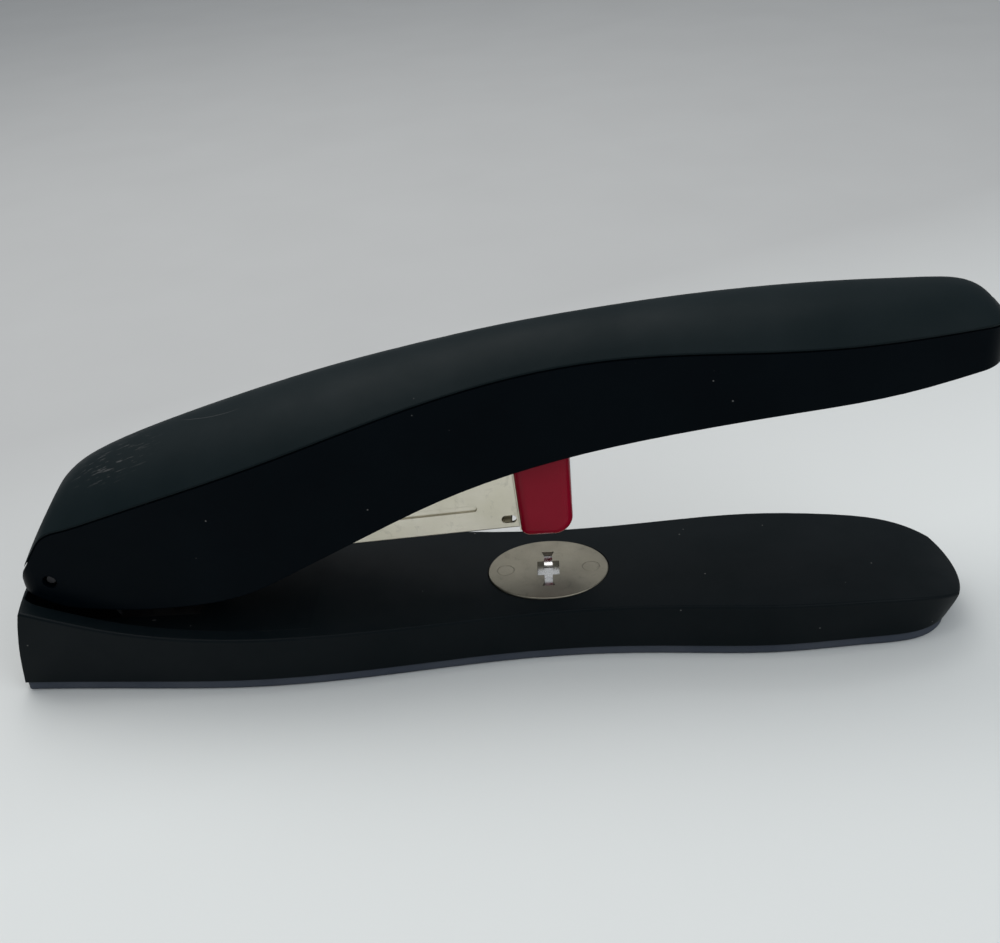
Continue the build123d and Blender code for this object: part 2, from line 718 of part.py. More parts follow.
# The hardened block under the plate, with a curved trough for each staple leg.
with BuildPart() as clinch_block:
    with BuildSketch(Plane.XY.offset(CHASSIS_TOP)):
        with Locations((ANVIL_X, 0)):
            Rectangle(2 * CLINCH_BLOCK_HALF_X, 2 * CLINCH_BLOCK_HALF_Y)
    extrude(amount=ANVIL_TOP - ANVIL_THICKNESS - CHASSIS_TOP)
    for side in (-1, 1):
        with BuildSketch(Plane.YZ.offset(ANVIL_X - 1.3)):
            with Locations((side * 4.9, CHASSIS_TOP + 4.1)):
                Circle(3.4)
        extrude(amount=2.6, mode=Mode.SUBTRACT)
finish(clinch_block.part, "clinch_block")

with BuildPart() as anvil_rivets:
    for x in (ANVIL_X - ANVIL_RIVET_OFFSET, ANVIL_X + ANVIL_RIVET_OFFSET):
        with BuildSketch(Plane.XY.offset(ANVIL_TOP - ANVIL_RIVET_HEAD)):
            with Locations((x, 0)):
                Circle(ANVIL_RIVET_RADIUS)
        extrude(amount=ANVIL_RIVET_HEAD)
        fillet(anvil_rivets.edges().group_by(Axis.Z)[-1], 0.15)
        with BuildSketch(Plane.XY.offset(CHASSIS_TOP - SHEET)):
            with Locations((x, 0)):
                Circle(RIVET_RADIUS)
        extrude(amount=ANVIL_TOP - ANVIL_RIVET_HEAD - CHASSIS_TOP + SHEET)
        with BuildSketch(Plane.XY.offset(CHASSIS_TOP - SHEET - 0.9)):
            with Locations((x, 0)):
                Circle(RIVET_RADIUS + 1.0)
        extrude(amount=0.9)
finish(anvil_rivets.part, "anvil_rivets")


# ================================================================ magazine

def side_plate(points, ear_radius, outer_y, thickness):
    """A pair of sheet side plates with round ears on the hinge axis."""
    with BuildPart() as plates:
        with BuildSketch(Plane.XZ):
            with Locations((0, PIN_HEIGHT)):
                Circle(ear_radius)
            with BuildLine():
                Polyline(*points, points[0])
            make_face()
        extrude(amount=outer_y, both=True)
        with Locations((MAGAZINE_FRONT / 2, 0, 50)):
            Box(WIDE * 4, 2 * (outer_y - thickness), WIDE * 2, mode=Mode.SUBTRACT)
    return plates.part


with BuildPart() as magazine_channel:
    add(
        side_plate(
            [
                (0.0, PIN_HEIGHT),
                (-1.5, PIN_HEIGHT + 3.5),
                (10.0, 39.4),
                (30.0, 41.2),
                (60.0, 42.4),
                (MAGAZINE_FRONT, MAGAZINE_SIDE_TOP),
                (MAGAZINE_FRONT, MAGAZINE_BOTTOM),
                (3.0, MAGAZINE_BOTTOM),
            ],
            EAR_RADIUS,
            MAGAZINE_HALF_WIDTH,
            MAGAZINE_WALL,
        )
    )
    with BuildSketch(Plane.XY.offset(MAGAZINE_BOTTOM)):
        with Locations(((MAGAZINE_FLOOR_REAR + STAPLE_SLOT_REAR) / 2, 0)):
            Rectangle(STAPLE_SLOT_REAR - MAGAZINE_FLOOR_REAR, 2 * MAGAZINE_HALF_WIDTH)
    extrude(amount=MAGAZINE_WALL)
    fillet(
        magazine_channel.edges()
        .filter_by(Axis.X)
        .filter_by_position(Axis.Z, MAGAZINE_BOTTOM - 0.1, MAGAZINE_BOTTOM + 0.1)
        .filter_by_position(Axis.X, 20, 110),
        0.5,
    )
    add(pin_rod(BEARING_RADIUS, WIDE), mode=Mode.SUBTRACT)
    # The sight windows at the front, on both sides.
    with BuildSketch(Plane.XZ):
        with Locations((WINDOW_X, WINDOW_HEIGHT)):
            SlotOverall(WINDOW_LENGTH, WINDOW_WIDTH)
    extrude(amount=20, both=True, mode=Mode.SUBTRACT)
    # A stiffening groove along each side.
    for side in (-1, 1):
        with BuildSketch(Plane.XZ.offset(side * MAGAZINE_HALF_WIDTH)):
            with Locations(((GROOVE_REAR + GROOVE_FRONT) / 2, GROOVE_HEIGHT)):
                SlotOverall(GROOVE_FRONT - GROOVE_REAR, GROOVE_WIDTH)
        extrude(amount=GROOVE_DEPTH, both=True, taper=24, mode=Mode.SUBTRACT)
finish(tip_up(magazine_channel.part), "magazine_channel")

with BuildPart() as staple_rail:
    with BuildSketch(Plane.YZ.offset(RAIL_REAR)):
        with BuildLine():
            half = RAIL_HALF_WIDTH
            floor = MAGAZINE_BOTTOM + MAGAZINE_WALL
            Polyline(
                (-half, floor),
                (-half, RAIL_TOP),
                (half, RAIL_TOP),
                (half, floor),
                (half - MAGAZINE_WALL, floor),
                (half - MAGAZINE_WALL, RAIL_TOP - MAGAZINE_WALL),
                (-half + MAGAZINE_WALL, RAIL_TOP - MAGAZINE_WALL),
                (-half + MAGAZINE_WALL, floor),
                (-half, floor),
            )
        make_face()
    extrude(amount=STRIP_FRONT - RAIL_REAR)
    fillet(staple_rail.edges().filter_by(Axis.X).group_by(Axis.Z)[-1], 0.5)
    with BuildSketch(Plane.XY.offset(RAIL_TOP - 2)):
        with Locations(((RAIL_SLOT_REAR + RAIL_SLOT_FRONT) / 2, 0)):
            SlotOverall(RAIL_SLOT_FRONT - RAIL_SLOT_REAR, 3.2)
    extrude(amount=4, mode=Mode.SUBTRACT)
    with BuildSketch(Plane.XZ):
        with Locations((RAIL_REAR + 2.5, RIVET_HEIGHT), (RAIL_BLOCK_FRONT_X, RIVET_HEIGHT)):
            Circle(0.9)
    extrude(amount=20, both=True, mode=Mode.SUBTRACT)
finish(tip_up(staple_rail.part), "staple_rail")

# Blocks inside the rail carry the pusher's rod.
with BuildPart() as rail_blocks:
    for x in (RAIL_REAR + 2.5, RAIL_BLOCK_FRONT_X):
        with Locations((x, 0, (floor + RAIL_TOP - MAGAZINE_WALL) / 2)):
            Box(4.0, 2 * (RAIL_HALF_WIDTH - MAGAZINE_WALL), RAIL_TOP - MAGAZINE_WALL - floor)
    with BuildSketch(Plane.YZ.offset(RAIL_REAR)):
        with Locations((0, ROD_HEIGHT)):
            Circle(ROD_RADIUS)
    extrude(amount=120, mode=Mode.SUBTRACT)
    with BuildSketch(Plane.XZ):
        with Locations((RAIL_REAR + 2.5, RIVET_HEIGHT), (RAIL_BLOCK_FRONT_X, RIVET_HEIGHT)):
            Circle(0.9)
    extrude(amount=20, both=True, mode=Mode.SUBTRACT)
finish(tip_up(rail_blocks.part), "rail_blocks")

with BuildPart() as rail_rivets:
    with BuildSketch(Plane.XZ):
        with Locations((RAIL_REAR + 2.5, RIVET_HEIGHT), (RAIL_BLOCK_FRONT_X, RIVET_HEIGHT)):
            Circle(0.9)
    extrude(amount=RAIL_HALF_WIDTH + 0.25, both=True)
finish(tip_up(rail_rivets.part), "rail_rivets")

with BuildPart() as guide_rod:
    with BuildSketch(Plane.YZ.offset(RAIL_REAR + 0.5)):
        with Locations((0, ROD_HEIGHT)):
            Circle(ROD_RADIUS)
    extrude(amount=RAIL_BLOCK_FRONT_X + 2.0 - RAIL_REAR - 0.5)
    chamfer(guide_rod.edges(), 0.2)
finish(tip_up(guide_rod.part), "guide_rod")

with BuildPart() as staple_strip:
    with BuildSketch(Plane.YZ.offset(STRIP_FRONT - STRIP_LENGTH)):
        with BuildLine():
            half = STAPLE_HALF_WIDTH
            Polyline(
                (-half, STAPLE_CROWN_TOP - STAPLE_LEG),
                (-half, STAPLE_CROWN_TOP),
                (half, STAPLE_CROWN_TOP),
                (half, STAPLE_CROWN_TOP - STAPLE_LEG),
                (half - STAPLE_WIRE, STAPLE_CROWN_TOP - STAPLE_LEG),
                (half - STAPLE_WIRE, STAPLE_CROWN_TOP - STAPLE_WIRE),
                (-half + STAPLE_WIRE, STAPLE_CROWN_TOP - STAPLE_WIRE),
                (-half + STAPLE_WIRE, STAPLE_CROWN_TOP - STAPLE_LEG),
                (-half, STAPLE_CROWN_TOP - STAPLE_LEG),
            )
        make_face()
    extrude(amount=STRIP_LENGTH)
finish(tip_up(staple_strip.part), "staple_strip")

# The pusher rides over the rail and along the rod, behind the staples.
pusher_front = STRIP_FRONT - STRIP_LENGTH - 0.3
with BuildPart() as pusher:
    with BuildSketch(Plane.YZ.offset(pusher_front - PUSHER_LENGTH)):
        with BuildLine():
            Polyline(
                (-PUSHER_HALF_WIDTH, PUSHER_FOOT),
                (-PUSHER_HALF_WIDTH, PUSHER_TOP),
                (PUSHER_HALF_WIDTH, PUSHER_TOP),
                (PUSHER_HALF_WIDTH, PUSHER_FOOT),
                (RAIL_HALF_WIDTH + FREE_GAP, PUSHER_FOOT),
                (RAIL_HALF_WIDTH + FREE_GAP, RAIL_TOP + FREE_GAP),
                (-RAIL_HALF_WIDTH - FREE_GAP, RAIL_TOP + FREE_GAP),
                (-RAIL_HALF_WIDTH - FREE_GAP, PUSHER_FOOT),
                (-PUSHER_HALF_WIDTH, PUSHER_FOOT),
            )
        make_face()
    extrude(amount=PUSHER_LENGTH)
    # The web through the rail's slot and the carriage on the rod.
    with BuildSketch(Plane.YZ.offset(pusher_front - PUSHER_LENGTH + 2.0)):
        with Locations((0, ROD_HEIGHT + 2.5)):
            Rectangle(2.2, 5.0)
        with Locations((0, ROD_HEIGHT)):
            Circle(PUSHER_CARRIAGE_RADIUS)
    extrude(amount=PUSHER_LENGTH - 4.0)
    with BuildSketch(Plane.YZ.offset(pusher_front - PUSHER_LENGTH)):
        with Locations((0, ROD_HEIGHT)):
            Circle(ROD_RADIUS + FREE_GAP)
    extrude(amount=PUSHER_LENGTH, mode=Mode.SUBTRACT)
finish(tip_up(pusher.part), "pusher")

spring_start = RAIL_REAR + 4.5 + SPRING_WIRE_RADIUS
spring_end = pusher_front - PUSHER_LENGTH + 2.0 - SPRING_WIRE_RADIUS
with BuildPart() as pusher_spring:
    with BuildLine():
        coil = Helix(
            pitch=PUSHER_SPRING_PITCH,
            height=spring_end - spring_start,
            radius=PUSHER_SPRING_RADIUS,
            center=(spring_start, 0, ROD_HEIGHT),
            direction=(1, 0, 0),
        )
    with BuildSketch(Plane(origin=coil @ 0, z_dir=coil % 0)):
        Circle(SPRING_WIRE_RADIUS)
    sweep()
finish(tip_up(pusher_spring.part), "pusher_spring")

with BuildPart() as front_plate:
    with BuildSketch(Plane.YZ.offset(MAGAZINE_FRONT)):
        with Locations((0, (FRONT_PLATE_BOTTOM + MAGAZINE_SIDE_TOP) / 2)):
            Rectangle(2 * FRONT_PLATE_HALF_WIDTH, MAGAZINE_SIDE_TOP - FRONT_PLATE_BOTTOM)
    extrude(amount=1.0)
finish(tip_up(front_plate.part), "front_plate")


def nose_form(inset, rear):
    """The nose cover's form from x = rear at the pin's height, with rounded corners, drawn in by inset."""
    front = NOSE_FRONT - inset
    half = NOSE_HALF_WIDTH - inset
    bottom = NOSE_BOTTOM + inset
    top = NOSE_TOP - inset
    lean = math.tan(math.radians(MAGAZINE_TILT))
    rear_bottom = rear - (bottom - PIN_HEIGHT) * lean
    rear_top = rear - (top - PIN_HEIGHT) * lean
    with BuildPart() as form:
        with BuildSketch(Plane.XZ) as profile:
            with BuildLine():
                Polyline(
                    (rear_bottom, bottom),
                    (front, bottom),
                    (front, top),
                    (rear_top, top),
                    (rear_bottom, bottom),
                )
            make_face()
            fillet(profile.vertices().group_by(Axis.Y)[0].sort_by(Axis.X)[-1], NOSE_FRONT_RADIUS - inset)
            fillet(profile.vertices().group_by(Axis.Y)[0].sort_by(Axis.X)[0], NOSE_REAR_RADIUS)
        extrude(amount=half, both=True)
        fillet(form.edges().filter_by(Axis.Z).sort_by(Axis.X)[-2:], NOSE_CORNER_RADIUS - inset)
    return form.part


with BuildPart() as front_plate_room:
    with Locations((MAGAZINE_FRONT + 0.5, 0, 40)):
        Box(1.0, 2 * FRONT_PLATE_HALF_WIDTH, 34)

with BuildPart() as nose_cover:
    nose_rear = NOSE_REAR / math.cos(math.radians(MAGAZINE_TILT))
    add(nose_form(0, nose_rear))
    add(nose_form(NOSE_WALL, nose_rear - 4), mode=Mode.SUBTRACT)
    add(tip_up(front_plate_room.part), mode=Mode.SUBTRACT)
    # A rib on the inside of the front wall.
    with Locations((NOSE_FRONT - NOSE_WALL - 4.5, 0, 41)):
        Box(10.0, 3.0, 5.0)
finish(nose_cover.part, "nose_cover")


# ================================================================ handle

crease_slab = below_curve(CREASE, 0, 0)

with BuildPart() as joint_gap:
    add(handle_walls(-1))
    add(handle_walls(JOINT_GAP), mode=Mode.SUBTRACT)
    add(below_curve(CREASE, JOINT_GAP, 0), mode=Mode.SUBTRACT)

with BuildPart() as handle_body:
    add(handle_walls(0))
    add(crease_slab, mode=Mode.INTERSECT)
    add(below_curve(HANDLE_BOTTOM, 0, 0), mode=Mode.SUBTRACT)
    # A fine shadow gap under the cover.
    add(joint_gap.part, mode=Mode.SUBTRACT)
    add(handle_walls(HANDLE_WALL), mode=Mode.SUBTRACT)
    add(pin_rod(PIN_WINDOW_RADIUS, WIDE), mode=Mode.SUBTRACT)
    # The rear wall is notched where the hinge bracket passes through it as the handle opens.
    with BuildSketch(Plane.YZ.offset(-20)):
        with Locations((0, REAR_NOTCH_TOP / 2)):
            Rectangle(2 * REAR_NOTCH_HALF_WIDTH, REAR_NOTCH_TOP)
    extrude(amount=20, mode=Mode.SUBTRACT)
finish(handle_body.part, "handle_body")

# Bosses under the crown: on the frame's roof, and down to the grip's underside.
with BuildPart() as cover_bosses:
    with BuildSketch(ROOF_PLANE):
        with Locations(*ROOF_SCREWS):
            Circle(BOSS_RADIUS)
    extrude(amount=30)
    for x, seat in GRIP_SCREWS:
        with BuildSketch(Plane.XY.offset(seat + GRIP_PAD_HEIGHT)):
            with Locations((x, 0)):
                Circle(BOSS_RADIUS)
        extrude(amount=30)
    add(crown_form(COVER_THICKNESS / 2), mode=Mode.INTERSECT)

with BuildPart() as handle_cover:
    add(handle_walls(0))
    add(crown_form(0), mode=Mode.INTERSECT)
    add(crease_slab, mode=Mode.SUBTRACT)
    add(crown_form(COVER_THICKNESS), mode=Mode.SUBTRACT)
    add(cover_bosses.part)
    # Pilot holes.
    with BuildSketch(ROOF_PLANE):
        with Locations(*ROOF_SCREWS):
            Circle(SCREW_RADIUS)
    extrude(amount=HANDLE_SCREW_REACH, mode=Mode.SUBTRACT)
    for x, seat in GRIP_SCREWS:
        with BuildSketch(Plane.XY.offset(seat)):
            with Locations((x, 0)):
                Circle(SCREW_RADIUS)
        extrude(amount=GRIP_PAD_HEIGHT + HANDLE_SCREW_REACH, mode=Mode.SUBTRACT)
finish(handle_cover.part, "handle_cover")

with BuildPart() as under_grip:
    add(below_curve(HANDLE_BOTTOM, -1.0, 0))
    for x, seat in GRIP_SCREWS:
        with BuildSketch(Plane.XY.offset(seat)):
            with Locations((x, 0)):
                Circle(BOSS_RADIUS + 1.6)
        extrude(amount=GRIP_PAD_HEIGHT, mode=Mode.SUBTRACT)

with BuildPart() as grip_underside:
    add(handle_walls(HANDLE_WALL + 0.15))
    add(below_curve(HANDLE_BOTTOM, -1.0 - GRIP_COVER_THICKNESS, 0), mode=Mode.INTERSECT)
    for x, seat in GRIP_SCREWS:
        with BuildSketch(Plane.XY.offset(seat)):
            with Locations((x, 0)):
                Circle(BOSS_RADIUS + 1.6)
        extrude(amount=GRIP_PAD_HEIGHT)
    add(under_grip.part, mode=Mode.SUBTRACT)
    with Locations((GRIP_COVER_START - 200, 0, 50)):
        Box(400, 100, 200, mode=Mode.SUBTRACT)
    for x, seat in GRIP_SCREWS:
        with BuildSketch(Plane.XY.offset(seat)):
            with Locations((x, 0)):
                Circle(SCREW_HEAD_RADIUS + 0.3)
        extrude(amount=SCREW_HEAD_HEIGHT + 0.2, mode=Mode.SUBTRACT)
        with BuildSketch(Plane.XY.offset(seat)):
            with Locations((x, 0)):
                Circle(SCREW_RADIUS)
        extrude(amount=GRIP_PAD_HEIGHT, mode=Mode.SUBTRACT)
finish(grip_underside.part, "grip_underside")

with BuildPart() as grip_screws:
    for x, seat in GRIP_SCREWS:
        with BuildSketch(Plane.XY.offset(seat + 0.2)):
            with Locations((x, 0)):
                Circle(SCREW_HEAD_RADIUS)
        extrude(amount=SCREW_HEAD_HEIGHT)
        with BuildSketch(Plane.XY.offset(seat + 0.2)):
            with Locations((x, 0)):
                Rectangle(0.6, 3.0)
                Rectangle(3.0, 0.6)
        extrude(amount=0.8, mode=Mode.SUBTRACT)
        with BuildSketch(Plane.XY.offset(seat + 0.2 + SCREW_HEAD_HEIGHT)):
            with Locations((x, 0)):
                Circle(SCREW_RADIUS)
        extrude(amount=GRIP_PAD_HEIGHT - SCREW_HEAD_HEIGHT + HANDLE_SCREW_REACH - 1.0)
finish(grip_screws.part, "grip_screws")

# The steel lever inside the handle: two side plates under a roof.
with BuildPart() as handle_frame:
    add(
        side_plate(
            [
                (-3.0, PIN_HEIGHT + 2.4),
                FRAME_ROOF_REAR,
                (FRAME_FRONT, roof_height(FRAME_FRONT)),
                (FRAME_FRONT, 61.0),
                (75.0, 50.0),
                (40.0, 37.0),
                (3.2, PIN_HEIGHT - 2.1),
            ],
            EAR_RADIUS,
            FRAME_INNER_Y + FRAME_THICKNESS,
            FRAME_THICKNESS,
        )
    )
    with BuildSketch(ROOF_PLANE.offset(-FRAME_THICKNESS)):
        with Locations((ROOF_LENGTH / 2, 0)):
            Rectangle(ROOF_LENGTH, 2 * (FRAME_INNER_Y + FRAME_THICKNESS))
    extrude(amount=FRAME_THICKNESS)
    add(pin_rod(BEARING_RADIUS, WIDE), mode=Mode.SUBTRACT)
    with BuildSketch(ROOF_PLANE.offset(-5)):
        with Locations(*ROOF_SCREWS):
            Circle(SCREW_RADIUS)
        with Locations(*ROOF_RIVETS):
            Circle(RIVET_RADIUS)
    extrude(amount=10, mode=Mode.SUBTRACT)
finish(handle_frame.part, "handle_frame")

with BuildPart() as handle_screws:
    with BuildSketch(ROOF_PLANE.offset(-FRAME_THICKNESS - SCREW_HEAD_HEIGHT)):
        with Locations(*ROOF_SCREWS):
            Circle(SCREW_HEAD_RADIUS)
    extrude(amount=SCREW_HEAD_HEIGHT)
    with BuildSketch(ROOF_PLANE.offset(-FRAME_THICKNESS - SCREW_HEAD_HEIGHT)):
        with Locations(*ROOF_SCREWS):
            Rectangle(0.6, 3.0)
            Rectangle(3.0, 0.6)
    extrude(amount=0.8, mode=Mode.SUBTRACT)
    with BuildSketch(ROOF_PLANE.offset(-FRAME_THICKNESS)):
        with Locations(*ROOF_SCREWS):
            Circle(SCREW_RADIUS)
    extrude(amount=FRAME_THICKNESS + HANDLE_SCREW_REACH - 1.0)
finish(handle_screws.part, "handle_screws")

# The driver blade: an arc about the hinge axis with a flange riveted under the roof.
with BuildPart() as driver_blade:
    with BuildSketch(PIN_AXIS):
        Circle(DRIVER_RADIUS + DRIVER_THICKNESS / 2)
        Circle(DRIVER_RADIUS - DRIVER_THICKNESS / 2, mode=Mode.SUBTRACT)
        tip = DRIVER_TIP_HEIGHT - PIN_HEIGHT
        under_roof = roof_height(DRIVER_TOP_X) - FRAME_THICKNESS / math.cos(ROOF_ANGLE) - PIN_HEIGHT
        slope = math.tan(ROOF_ANGLE)
        Polygon(
            (90, tip),
            (125, tip),
            (125, under_roof + (125 - DRIVER_TOP_X) * slope),
            (90, under_roof + (90 - DRIVER_TOP_X) * slope),
            align=None,
            mode=Mode.INTERSECT,
        )
    extrude(amount=DRIVER_HALF_WIDTH, both=True)
    with BuildSketch(ROOF_PLANE.offset(-FRAME_THICKNESS - DRIVER_THICKNESS)):
        with Locations((DRIVER_FLANGE_MIDDLE, 0)):
            Rectangle(DRIVER_FLANGE_LENGTH, 2 * DRIVER_HALF_WIDTH)
    extrude(amount=DRIVER_THICKNESS)
    with BuildSketch(ROOF_PLANE.offset(-5)):
        with Locations(*ROOF_RIVETS[1:]):
            Circle(RIVET_RADIUS)
    extrude(amount=10, mode=Mode.SUBTRACT)
finish(driver_blade.part, "driver_blade")

# The spring that lifts the handle off the magazine.
with BuildPart() as press_spring:
    under_roof = -FRAME_THICKNESS - LEAF_THICKNESS
    add(
        leaf_spring(
            (20.0, under_roof),
            [(34.0, under_roof), (40.0, -4.2), (46.0, -9.2), (50.0, -11.1), (54.0, -10.7)],
            (1, 0),
            LEAF_THICKNESS,
            7.0,
            ROOF_SIDE,
        )
    )
    with BuildSketch(ROOF_PLANE.offset(-5)):
        with Locations(ROOF_RIVETS[0]):
            Circle(RIVET_RADIUS)
    extrude(amount=10, mode=Mode.SUBTRACT)
finish(press_spring.part, "press_spring")

with BuildPart() as frame_rivets:
    for offset, height, radius in (
        (under_roof - RIVET_HEAD, RIVET_HEAD, RIVET_RADIUS + 1.0),
        (under_roof, -under_roof, RIVET_RADIUS),
        (0.0, RIVET_HEAD, RIVET_RADIUS + 1.0),
    ):
        with BuildSketch(ROOF_PLANE.offset(offset)):
            with Locations(*ROOF_RIVETS):
                Circle(radius)
        extrude(amount=height)
finish(frame_rivets.part, "frame_rivets")
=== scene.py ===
import json
import math

import bmesh
import bpy
from mathutils import Matrix, Vector


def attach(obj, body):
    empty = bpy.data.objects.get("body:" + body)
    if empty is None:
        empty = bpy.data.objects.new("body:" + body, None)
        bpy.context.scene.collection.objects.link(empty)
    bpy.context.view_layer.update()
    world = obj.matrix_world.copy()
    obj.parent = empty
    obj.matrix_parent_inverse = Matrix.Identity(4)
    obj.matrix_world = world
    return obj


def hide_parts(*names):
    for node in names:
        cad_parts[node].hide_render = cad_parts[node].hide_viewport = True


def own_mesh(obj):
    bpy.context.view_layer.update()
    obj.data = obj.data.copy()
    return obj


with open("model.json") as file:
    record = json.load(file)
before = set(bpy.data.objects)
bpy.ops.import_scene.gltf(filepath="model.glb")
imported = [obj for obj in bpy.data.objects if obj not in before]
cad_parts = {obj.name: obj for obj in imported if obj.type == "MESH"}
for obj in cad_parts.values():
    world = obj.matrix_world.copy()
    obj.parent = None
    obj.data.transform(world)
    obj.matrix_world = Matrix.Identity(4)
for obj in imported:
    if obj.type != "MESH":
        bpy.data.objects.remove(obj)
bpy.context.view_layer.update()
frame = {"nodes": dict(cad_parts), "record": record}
scene = bpy.context.scene

MM = 0.001

# Places that the pieces made here share with the CAD model, in metres.
PIN = Vector((0.0, 0.0, 30.5 * MM))
MAGAZINE_TILT = math.radians(3.4)
STAPLE_CROWN_TOP = 35.95 * MM
STAPLE_LEG = 6.35 * MM
STAPLE_HALF_WIDTH = 6.3 * MM
STAPLE_WIRE = 0.5 * MM
STAPLE_PITCH = 0.54 * MM
STAPLE_BEND = 0.7 * MM
BEND_STEPS = 4
WIRE_SIDES = 8
WIRE_FLATTENING = 0.92
STRIP_FRONT = 112.8 * MM
STRIP_LENGTH = 58.0 * MM

# The photograph's viewpoint, in metres, and how the camera is turned there, in degrees.
CAMERA_PLACE = Vector((0.12556, -0.2518, 0.19393))
CAMERA_AZIMUTH = 3.36
CAMERA_ELEVATION = 30.54
CAMERA_ROLL = -4.94
CAMERA_LENS_MM = 43.2
CAMERA_SENSOR_MM = 36.0

FLOOR_HALF_SIZE = 3.0


# ================================================================ camera, light and floor

def add_object(name, data):
    """A new object in the scene."""
    thing = bpy.data.objects.new(name, data)
    scene.collection.objects.link(thing)
    return thing


def add_camera():
    """The camera at the photograph's viewing angle, a little rolled."""
    azimuth = math.radians(CAMERA_AZIMUTH)
    elevation = math.radians(CAMERA_ELEVATION)
    roll = math.radians(CAMERA_ROLL)
    back = Vector((
        math.sin(azimuth) * math.cos(elevation),
        -math.cos(azimuth) * math.cos(elevation),
        math.sin(elevation),
    ))
    level_right = Vector((math.cos(azimuth), math.sin(azimuth), 0.0))
    level_up = back.cross(level_right)
    right = math.cos(roll) * level_right + math.sin(roll) * level_up
    up = math.cos(roll) * level_up - math.sin(roll) * level_right
    data = bpy.data.cameras.new("camera")
    data.lens = CAMERA_LENS_MM
    data.sensor_width = CAMERA_SENSOR_MM
    camera = add_object("camera", data)
    turn = Matrix((right, up, back)).transposed().to_4x4()
    camera.matrix_world = Matrix.Translation(CAMERA_PLACE) @ turn
    scene.camera = camera


def add_area_light(name, place, target, size, power, colour):
    """A square soft light at a place, facing a target."""
    data = bpy.data.lights.new(name, "AREA")
    data.size = size
    data.energy = power
    data.color = colour
    light = add_object(name, data)
    facing = (Vector(target) - Vector(place)).to_track_quat("-Z", "Y")
    light.matrix_world = Matrix.Translation(place) @ facing.to_matrix().to_4x4()


def add_world():
    """A dim room, lighter overhead than at the horizon."""
    world = bpy.data.worlds.new("room")
    scene.world = world
    world.use_nodes = True
    tree = world.node_tree
    direction = tree.nodes.new("ShaderNodeTexCoord").outputs["Generated"]
    split = tree.nodes.new("ShaderNodeSeparateXYZ")
    tree.links.new(direction, split.inputs[0])
    height = map_range(tree, split.outputs["Z"], 0.0, 1.0, 0.0, 1.0)
    colour = mix_colours(tree, height, (0.13, 0.14, 0.15), (0.62, 0.645, 0.67))
    background = tree.nodes["Background"]
    tree.links.new(colour, background.inputs["Color"])
    background.inputs["Strength"].default_value = 1.0


# ================================================================ shader parts

def socket_value(tree, target, value):
    """Sets a node's input to a number or a colour, or links it."""
    if isinstance(value, bpy.types.NodeSocket):
        tree.links.new(value, target)
    elif isinstance(value, tuple) and len(value) == 3 and target.type == "RGBA":
        target.default_value = (*value, 1.0)
    else:
        target.default_value = value


def surface_point(tree, stretch=(1.0, 1.0, 1.0)):
    """The point on the surface, in metres from the frame's origin, stretched along the axes."""
    point = tree.nodes.new("ShaderNodeTexCoord").outputs["Object"]
    mapping = tree.nodes.new("ShaderNodeMapping")
    mapping.inputs["Scale"].default_value = stretch
    tree.links.new(point, mapping.inputs["Vector"])
    return mapping.outputs["Vector"]


def noise(tree, point, feature, detail=3.0, roughness=0.5, distortion=0.0):
    """Noise whose features are about that many metres across."""
    node = tree.nodes.new("ShaderNodeTexNoise")
    tree.links.new(point, node.inputs["Vector"])
    node.inputs["Scale"].default_value = 1.0 / feature
    node.inputs["Detail"].default_value = detail
    node.inputs["Roughness"].default_value = roughness
    node.inputs["Distortion"].default_value = distortion
    return node.outputs["Fac"]


def map_range(tree, value, low, high, to_low, to_high):
    """value moved from one range to another, and kept inside it."""
    node = tree.nodes.new("ShaderNodeMapRange")
    socket_value(tree, node.inputs["Value"], value)
    node.inputs["From Min"].default_value = low
    node.inputs["From Max"].default_value = high
    node.inputs["To Min"].default_value = to_low
    node.inputs["To Max"].default_value = to_high
    return node.outputs["Result"]


def mix_colours(tree, share, first, second):
    """The first colour where share is 0 and the second where it is 1."""
    node = tree.nodes.new("ShaderNodeMix")
    node.data_type = "RGBA"
    socket_value(tree, node.inputs[0], share)
    socket_value(tree, node.inputs[6], first)
    socket_value(tree, node.inputs[7], second)
    return node.outputs[2]


def maths(tree, operation, first, second):
    """A maths node's result."""
    node = tree.nodes.new("ShaderNodeMath")
    node.operation = operation
    socket_value(tree, node.inputs[0], first)
    socket_value(tree, node.inputs[1], second)
    return node.outputs[0]


def distance_to(tree, point, centre, stretch):
    """Distance from a place, with the axes stretched first."""
    node = tree.nodes.new("ShaderNodeVectorMath")
    node.operation = "DISTANCE"
    mapping = tree.nodes.new("ShaderNodeMapping")
    mapping.inputs["Scale"].default_value = stretch
    tree.links.new(point, mapping.inputs["Vector"])
    tree.links.new(mapping.outputs["Vector"], node.inputs[0])
    node.inputs[1].default_value = tuple(c * s for c, s in zip(centre, stretch))
    return node.outputs["Value"]


def specks(tree, point, spacing, size, share):
    """1 on small scattered specks of dust, 0 elsewhere."""
    cells = tree.nodes.new("ShaderNodeTexVoronoi")
    tree.links.new(point, cells.inputs["Vector"])
    cells.inputs["Scale"].default_value = 1.0 / spacing
    near = map_range(tree, cells.outputs["Distance"], size / spacing * 0.6, size / spacing, 1.0, 0.0)
    chosen = tree.nodes.new("ShaderNodeSeparateColor")
    tree.links.new(cells.outputs["Color"], chosen.inputs[0])
    kept = maths(tree, "LESS_THAN", chosen.outputs[0], share)
    return maths(tree, "MULTIPLY", near, kept)


def rounded_edges(tree, radius):
    """A normal that rounds sharp edges by about that radius."""
    node = tree.nodes.new("ShaderNodeBevel")
    node.samples = 6
    node.inputs["Radius"].default_value = radius
    return node.outputs["Normal"]


